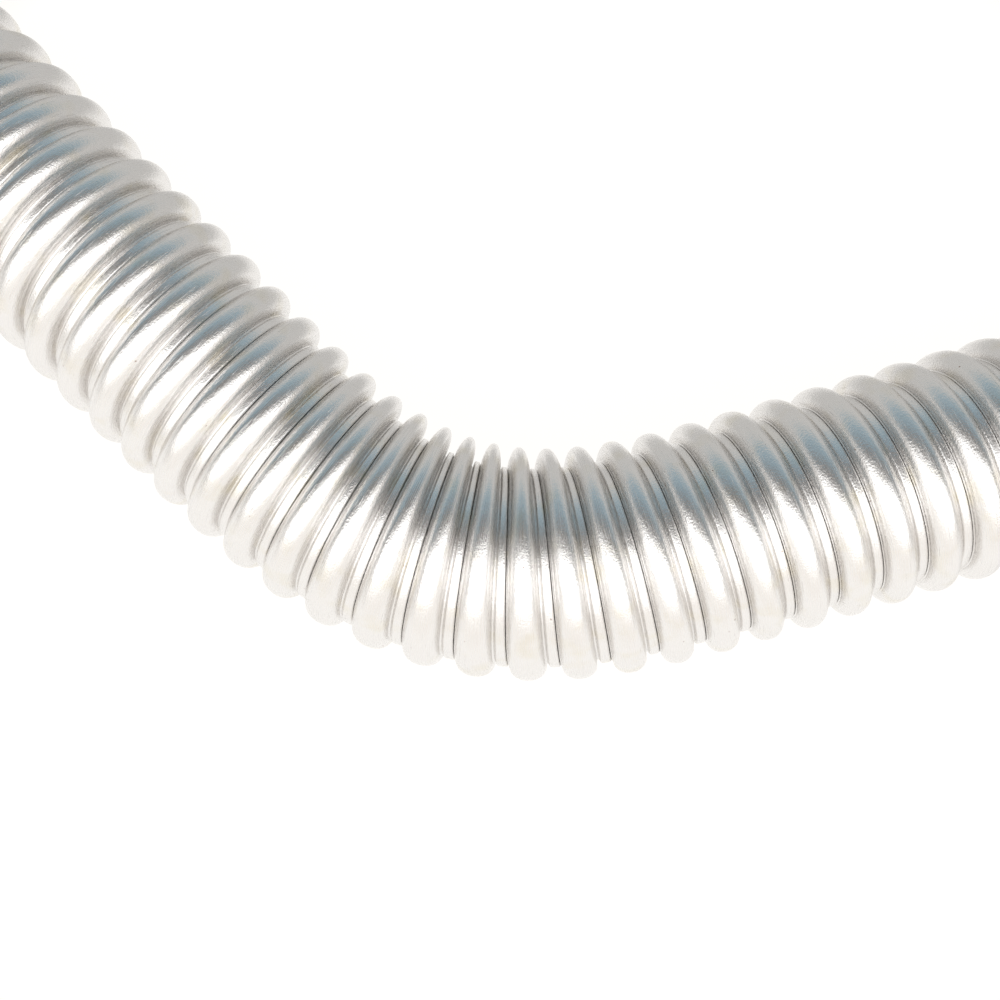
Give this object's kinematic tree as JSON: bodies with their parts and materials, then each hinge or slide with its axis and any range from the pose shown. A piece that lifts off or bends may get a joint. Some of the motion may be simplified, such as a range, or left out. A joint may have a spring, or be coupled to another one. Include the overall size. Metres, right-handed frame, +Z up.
{
  "type": "flexible air duct",
  "caption": "Semi-rigid corrugated metal air duct, bent in one elbow, with a plain push-on cuff at each end.",
  "frame": {"origin": "centre of the inlet cuff's open face", "axes": "+X out of the inlet cuff along its bore, +Y towards the inside of the elbow, +Z up, square to the plane of the bend; the duct lies flat"},
  "size_m": [0.4438, 0.3156, 0.073],
  "materials": {
    "aluminium_strip": "bright rolled strip with fine drawing lines and light handling marks",
    "cuff_aluminium": "bright rolled sheet, formed and hemmed"
  },
  "bodies": {
    "inlet_end": {"inlet_cuff": "cuff_aluminium", "turn_01": "aluminium_strip"},
    "turn_02": {"turn_02": "aluminium_strip"},
    "turn_03": {"turn_03": "aluminium_strip"},
    "turn_04": {"turn_04": "aluminium_strip"},
    "turn_05": {"turn_05": "aluminium_strip"},
    "turn_06": {"turn_06": "aluminium_strip"},
    "turn_07": {"turn_07": "aluminium_strip"},
    "turn_08": {"turn_08": "aluminium_strip"},
    "turn_09": {"turn_09": "aluminium_strip"},
    "turn_10": {"turn_10": "aluminium_strip"},
    "turn_11": {"turn_11": "aluminium_strip"},
    "turn_12": {"turn_12": "aluminium_strip"},
    "turn_13": {"turn_13": "aluminium_strip"},
    "turn_14": {"turn_14": "aluminium_strip"},
    "turn_15": {"turn_15": "aluminium_strip"},
    "turn_16": {"turn_16": "aluminium_strip"},
    "turn_17": {"turn_17": "aluminium_strip"},
    "turn_18": {"turn_18": "aluminium_strip"},
    "turn_19": {"turn_19": "aluminium_strip"},
    "turn_20": {"turn_20": "aluminium_strip"},
    "turn_21": {"turn_21": "aluminium_strip"},
    "turn_22": {"turn_22": "aluminium_strip"},
    "turn_23": {"turn_23": "aluminium_strip"},
    "turn_24": {"turn_24": "aluminium_strip"},
    "turn_25": {"turn_25": "aluminium_strip"},
    "turn_26": {"turn_26": "aluminium_strip"},
    "turn_27": {"turn_27": "aluminium_strip"},
    "turn_28": {"turn_28": "aluminium_strip"},
    "turn_29": {"turn_29": "aluminium_strip"},
    "turn_30": {"turn_30": "aluminium_strip"},
    "turn_31": {"turn_31": "aluminium_strip"},
    "turn_32": {"turn_32": "aluminium_strip"},
    "turn_33": {"turn_33": "aluminium_strip"},
    "turn_34": {"turn_34": "aluminium_strip"},
    "turn_35": {"turn_35": "aluminium_strip"},
    "outlet_end": {"turn_36": "aluminium_strip", "outlet_cuff": "cuff_aluminium"}
  },
  "joints": [
    {"name": "inlet_stretch", "type": "slide", "parent": "inlet_end", "child": "turn_02", "axis": [-1, 0, 0], "range_m": [-0.0025, 0.0025]},
    {"name": "inlet_lift", "type": "hinge", "parent": "turn_02", "child": "turn_03", "pos_m": [-0.0636, 0, 0], "axis": [0, 1, 0], "range_deg": [-3, 3]},
    {"name": "inlet_bend", "type": "hinge", "parent": "turn_03", "child": "turn_04", "pos_m": [-0.0774, 0, 0], "axis": [0, 0, -1], "range_deg": [-3, 3]},
    {"name": "inlet_stretch_04", "type": "slide", "parent": "turn_04", "child": "turn_05", "axis": [-1, 0, 0], "range_m": [-0.0025, 0.0025]},
    {"name": "inlet_lift_05", "type": "hinge", "parent": "turn_05", "child": "turn_06", "pos_m": [-0.105, 0, 0], "axis": [0, 1, 0], "range_deg": [-3, 3]},
    {"name": "inlet_bend_06", "type": "hinge", "parent": "turn_06", "child": "turn_07", "pos_m": [-0.1188, 0, 0], "axis": [0, 0, -1], "range_deg": [-3, 3]},
    {"name": "inlet_stretch_07", "type": "slide", "parent": "turn_07", "child": "turn_08", "axis": [-1, 0, 0], "range_m": [-0.0025, 0.0025]},
    {"name": "inlet_lift_08", "type": "hinge", "parent": "turn_08", "child": "turn_09", "pos_m": [-0.1464, 0, 0], "axis": [0, 1, 0], "range_deg": [-3, 3]},
    {"name": "inlet_bend_09", "type": "hinge", "parent": "turn_09", "child": "turn_10", "pos_m": [-0.1602, 0, 0], "axis": [0, 0, -1], "range_deg": [-3, 3]},
    {"name": "elbow_bend_10", "type": "hinge", "parent": "turn_10", "child": "turn_11", "pos_m": [-0.17398, 0, 0], "axis": [0, 0, -1], "range_deg": [-0.29298, 0.04403]},
    {"name": "elbow_bend_11", "type": "hinge", "parent": "turn_11", "child": "turn_12", "pos_m": [-0.18768, 0.00007, 0], "axis": [0, 0, -1], "range_deg": [-1.13, 0.17]},
    {"name": "elbow_bend_12", "type": "hinge", "parent": "turn_12", "child": "turn_13", "pos_m": [-0.20122, 0.00041, 0], "axis": [0, 0, -1], "range_deg": [-2.38, 0.36]},
    {"name": "elbow_bend_13", "type": "hinge", "parent": "turn_13", "child": "turn_14", "pos_m": [-0.21455, 0.00129, 0], "axis": [0, 0, -1], "range_deg": [-3.85, 0.58]},
    {"name": "elbow_bend_14", "type": "hinge", "parent": "turn_14", "child": "turn_15", "pos_m": [-0.22758, 0.00303, 0], "axis": [0, 0, -1], "range_deg": [-5.32, 0.8]},
    {"name": "elbow_bend_15", "type": "hinge", "parent": "turn_15", "child": "turn_16", "pos_m": [-0.2402, 0.00594, 0], "axis": [0, 0, -1], "range_deg": [-6.57, 0.99]},
    {"name": "elbow_bend_16", "type": "hinge", "parent": "turn_16", "child": "turn_17", "pos_m": [-0.25226, 0.01021, 0], "axis": [0, 0, -1], "range_deg": [-7.4, 1.11]},
    {"name": "elbow_bend", "type": "hinge", "parent": "turn_17", "child": "turn_18", "pos_m": [-0.26361, 0.01597, 0], "axis": [0, 0, -1], "range_deg": [-7.69, 1.15]},
    {"name": "elbow_bend_18", "type": "hinge", "parent": "turn_18", "child": "turn_19", "pos_m": [-0.27408, 0.02319, 0], "axis": [0, 0, -1], "range_deg": [-7.4, 1.11]},
    {"name": "elbow_bend_19", "type": "hinge", "parent": "turn_19", "child": "turn_20", "pos_m": [-0.2836, 0.03176, 0], "axis": [0, 0, -1], "range_deg": [-6.57, 0.99]},
    {"name": "elbow_bend_20", "type": "hinge", "parent": "turn_20", "child": "turn_21", "pos_m": [-0.29217, 0.04146, 0], "axis": [0, 0, -1], "range_deg": [-5.32, 0.8]},
    {"name": "elbow_bend_21", "type": "hinge", "parent": "turn_21", "child": "turn_22", "pos_m": [-0.29992, 0.05208, 0], "axis": [0, 0, -1], "range_deg": [-3.85, 0.58]},
    {"name": "elbow_bend_22", "type": "hinge", "parent": "turn_22", "child": "turn_23", "pos_m": [-0.30705, 0.06337, 0], "axis": [0, 0, -1], "range_deg": [-2.38, 0.36]},
    {"name": "elbow_bend_23", "type": "hinge", "parent": "turn_23", "child": "turn_24", "pos_m": [-0.31381, 0.07511, 0], "axis": [0, 0, -1], "range_deg": [-1.13, 0.17]},
    {"name": "elbow_bend_24", "type": "hinge", "parent": "turn_24", "child": "turn_25", "pos_m": [-0.32041, 0.08712, 0], "axis": [0, 0, -1], "range_deg": [-0.29298, 0.04403]},
    {"name": "outlet_bend", "type": "hinge", "parent": "turn_25", "child": "turn_26", "pos_m": [-0.32698, 0.09923, 0], "axis": [0, 0, -1], "range_deg": [-3, 3]},
    {"name": "outlet_lift", "type": "hinge", "parent": "turn_26", "child": "turn_27", "pos_m": [-0.33357, 0.11135, 0], "axis": [0.8788, 0.4772, 0], "range_deg": [-3, 3]},
    {"name": "outlet_stretch", "type": "slide", "parent": "turn_27", "child": "turn_28", "axis": [-0.4772, 0.8788, 0], "range_m": [-0.0025, 0.0025]},
    {"name": "outlet_bend_28", "type": "hinge", "parent": "turn_28", "child": "turn_29", "pos_m": [-0.34674, 0.13561, 0], "axis": [0, 0, -1], "range_deg": [-3, 3]},
    {"name": "outlet_lift_29", "type": "hinge", "parent": "turn_29", "child": "turn_30", "pos_m": [-0.35332, 0.14774, 0], "axis": [0.8788, 0.4772, 0], "range_deg": [-3, 3]},
    {"name": "outlet_stretch_30", "type": "slide", "parent": "turn_30", "child": "turn_31", "axis": [-0.4772, 0.8788, 0], "range_m": [-0.0025, 0.0025]},
    {"name": "outlet_bend_31", "type": "hinge", "parent": "turn_31", "child": "turn_32", "pos_m": [-0.36649, 0.17199, 0], "axis": [0, 0, -1], "range_deg": [-3, 3]},
    {"name": "outlet_lift_32", "type": "hinge", "parent": "turn_32", "child": "turn_33", "pos_m": [-0.37308, 0.18412, 0], "axis": [0.8788, 0.4772, 0], "range_deg": [-3, 3]},
    {"name": "outlet_stretch_33", "type": "slide", "parent": "turn_33", "child": "turn_34", "axis": [-0.4772, 0.8788, 0], "range_m": [-0.0025, 0.0025]},
    {"name": "outlet_bend_34", "type": "hinge", "parent": "turn_34", "child": "turn_35", "pos_m": [-0.38625, 0.20838, 0], "axis": [0, 0, -1], "range_deg": [-3, 3]},
    {"name": "outlet_lift_35", "type": "hinge", "parent": "turn_35", "child": "outlet_end", "pos_m": [-0.39283, 0.2205, 0], "axis": [0.8788, 0.4772, 0], "range_deg": [-3, 3]}
  ],
  "couplings": [
    {"joint": "inlet_stretch_04", "follows": "inlet_stretch", "ratio": 1},
    {"joint": "inlet_lift_05", "follows": "inlet_lift", "ratio": 1},
    {"joint": "inlet_bend_06", "follows": "inlet_bend", "ratio": 1},
    {"joint": "inlet_stretch_07", "follows": "inlet_stretch", "ratio": 1},
    {"joint": "inlet_lift_08", "follows": "inlet_lift", "ratio": 1},
    {"joint": "inlet_bend_09", "follows": "inlet_bend", "ratio": 1},
    {"joint": "elbow_bend_10", "follows": "elbow_bend", "ratio": 0.03806},
    {"joint": "elbow_bend_11", "follows": "elbow_bend", "ratio": 0.14645},
    {"joint": "elbow_bend_12", "follows": "elbow_bend", "ratio": 0.30866},
    {"joint": "elbow_bend_13", "follows": "elbow_bend", "ratio": 0.5},
    {"joint": "elbow_bend_14", "follows": "elbow_bend", "ratio": 0.69134},
    {"joint": "elbow_bend_15", "follows": "elbow_bend", "ratio": 0.85355},
    {"joint": "elbow_bend_16", "follows": "elbow_bend", "ratio": 0.96194},
    {"joint": "elbow_bend_18", "follows": "elbow_bend", "ratio": 0.96194},
    {"joint": "elbow_bend_19", "follows": "elbow_bend", "ratio": 0.85355},
    {"joint": "elbow_bend_20", "follows": "elbow_bend", "ratio": 0.69134},
    {"joint": "elbow_bend_21", "follows": "elbow_bend", "ratio": 0.5},
    {"joint": "elbow_bend_22", "follows": "elbow_bend", "ratio": 0.30866},
    {"joint": "elbow_bend_23", "follows": "elbow_bend", "ratio": 0.14645},
    {"joint": "elbow_bend_24", "follows": "elbow_bend", "ratio": 0.03806},
    {"joint": "outlet_bend_28", "follows": "outlet_bend", "ratio": 1},
    {"joint": "outlet_lift_29", "follows": "outlet_lift", "ratio": 1},
    {"joint": "outlet_stretch_30", "follows": "outlet_stretch", "ratio": 1},
    {"joint": "outlet_bend_31", "follows": "outlet_bend", "ratio": 1},
    {"joint": "outlet_lift_32", "follows": "outlet_lift", "ratio": 1},
    {"joint": "outlet_stretch_33", "follows": "outlet_stretch", "ratio": 1},
    {"joint": "outlet_bend_34", "follows": "outlet_bend", "ratio": 1},
    {"joint": "outlet_lift_35", "follows": "outlet_lift", "ratio": 1}
  ]
}
